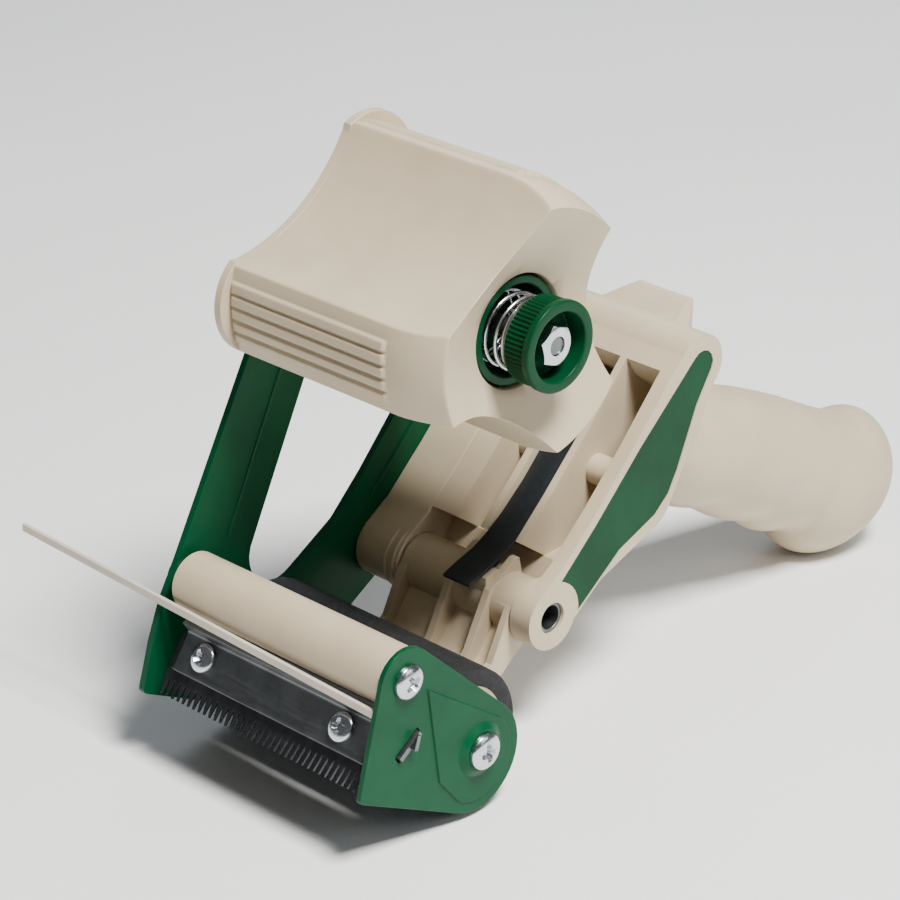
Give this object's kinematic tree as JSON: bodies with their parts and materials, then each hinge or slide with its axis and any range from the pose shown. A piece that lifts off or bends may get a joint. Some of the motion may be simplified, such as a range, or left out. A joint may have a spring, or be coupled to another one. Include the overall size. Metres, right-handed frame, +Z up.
{
  "type": "tape dispenser",
  "caption": "Hand-held carton-sealing tape dispenser with a lobed hub, brake knob, guide and rubber rollers, toothed cutter, sprung lever and pistol grip.",
  "frame": {"origin": "middle of the underside of the box round the whole dispenser as it stands on the table on its rubber roller and the butt of its grip", "axes": "+X runs from the cutter to the butt of the grip, +Y runs from the brake knob to the closed side plate along every roller axis, +Z is up from the table"},
  "size_m": [0.2484, 0.139, 0.1619],
  "materials": {
    "green_paint": "gloss powder coat",
    "green_plastic": "moulded, semi-gloss",
    "beige_plastic": "moulded, fine grain",
    "black_rubber": "matt ground rubber",
    "black_spring": "matt black spring steel",
    "zinc_steel": "zinc plated",
    "blade_steel": "dark hardened steel",
    "chrome": "bright plated",
    "pale_plastic": "thin flexible strip"
  },
  "bodies": {
    "frame": {"side_plate": "green_paint", "ear_plate": "green_paint", "hub_shaft": "zinc_steel", "hub_washer": "zinc_steel", "hub_nut": "chrome", "brake_spring": "chrome", "guide_axle": "zinc_steel", "guide_screws": "chrome", "roller_axle": "zinc_steel", "roller_screws": "chrome", "blade_carrier": "zinc_steel", "blade": "blade_steel", "clamp_plate": "zinc_steel", "blade_screws": "chrome", "wiper_strip": "pale_plastic", "hinge_pin": "zinc_steel", "leaf_spring": "black_spring", "leaf_screw": "chrome", "handle_body": "beige_plastic", "far_cheek": "beige_plastic", "cheek_inlay": "green_plastic", "handle_screws": "chrome", "grip": "beige_plastic", "grip_screws": "chrome"},
    "hub": {"hub": "beige_plastic", "friction_cup": "green_plastic"},
    "brake_washer": {"brake_washer": "zinc_steel"},
    "brake_knob": {"brake_knob": "green_plastic", "knob_nut": "chrome"},
    "guide_roller": {"guide_roller": "beige_plastic"},
    "press_roller": {"roller_sleeve": "black_rubber", "roller_core": "beige_plastic"},
    "lever": {"lever": "beige_plastic"}
  },
  "joints": [
    {"name": "hub_spin", "type": "hinge", "parent": "frame", "child": "hub", "pos_m": [-0.0608, -0.0279, 0.1234], "axis": [0, 1, 0], "continuous": true},
    {"name": "knob_travel", "type": "slide", "parent": "frame", "child": "brake_washer", "axis": [0, 1, 0], "range_m": [-0.002, 0.0012], "deforming": ["brake_spring"]},
    {"name": "knob_turn", "type": "hinge", "parent": "brake_washer", "child": "brake_knob", "pos_m": [-0.0608, -0.0629, 0.1234], "axis": [0, 1, 0], "range_deg": [-905, 545]},
    {"name": "guide_roller_spin", "type": "hinge", "parent": "frame", "child": "guide_roller", "pos_m": [-0.1083, -0.0259, 0.0478], "axis": [0, 1, 0], "continuous": true},
    {"name": "press_roller_spin", "type": "hinge", "parent": "frame", "child": "press_roller", "pos_m": [-0.0826, -0.0259, 0.0193], "axis": [0, 1, 0], "continuous": true},
    {"name": "lever_swing", "type": "hinge", "parent": "frame", "child": "lever", "pos_m": [-0.0392, -0.0219, 0.0348], "axis": [0, 1, 0], "range_deg": [0, 6], "stiffness_Nm_per_rad": 0.5, "springref_deg": -17.19, "deforming": ["leaf_spring"]}
  ],
  "couplings": [
    {"joint": "knob_turn", "follows": "knob_travel", "rad_per_m": 7854}
  ]
}
